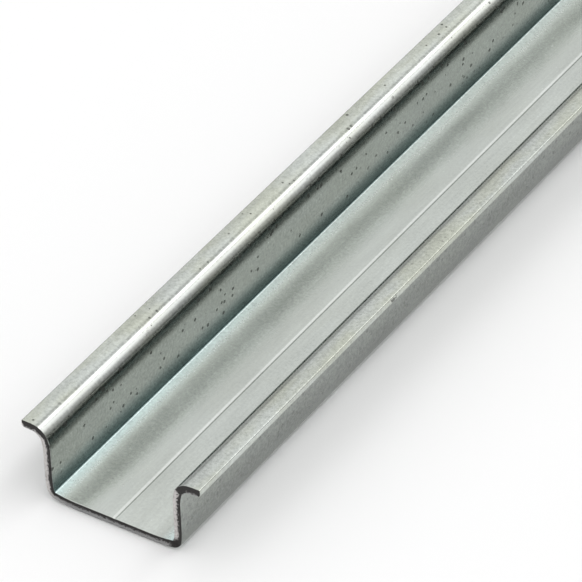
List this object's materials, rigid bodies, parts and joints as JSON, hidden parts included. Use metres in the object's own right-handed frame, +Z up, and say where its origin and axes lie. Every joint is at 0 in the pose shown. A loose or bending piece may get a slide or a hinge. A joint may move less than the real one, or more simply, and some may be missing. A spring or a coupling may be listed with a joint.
{
  "type": "din rail",
  "caption": "Length of plain top-hat mounting rail: zinc-plated steel channel with outward flanges that modular electrical equipment clips onto.",
  "frame": {"origin": "on the underside of the base, midway across the width and midway along the length", "axes": "+X across the rail, +Y along its length, +Z up out of the open channel, away from the panel it is mounted on"},
  "size_m": [0.035, 0.5, 0.015],
  "materials": {
    "zinc_plated_steel": "bright zinc plate over cold-rolled steel sheet, satin, with fine rolling lines along the length"
  },
  "bodies": {
    "root": {"rail": "zinc_plated_steel"}
  },
  "joints": []
}
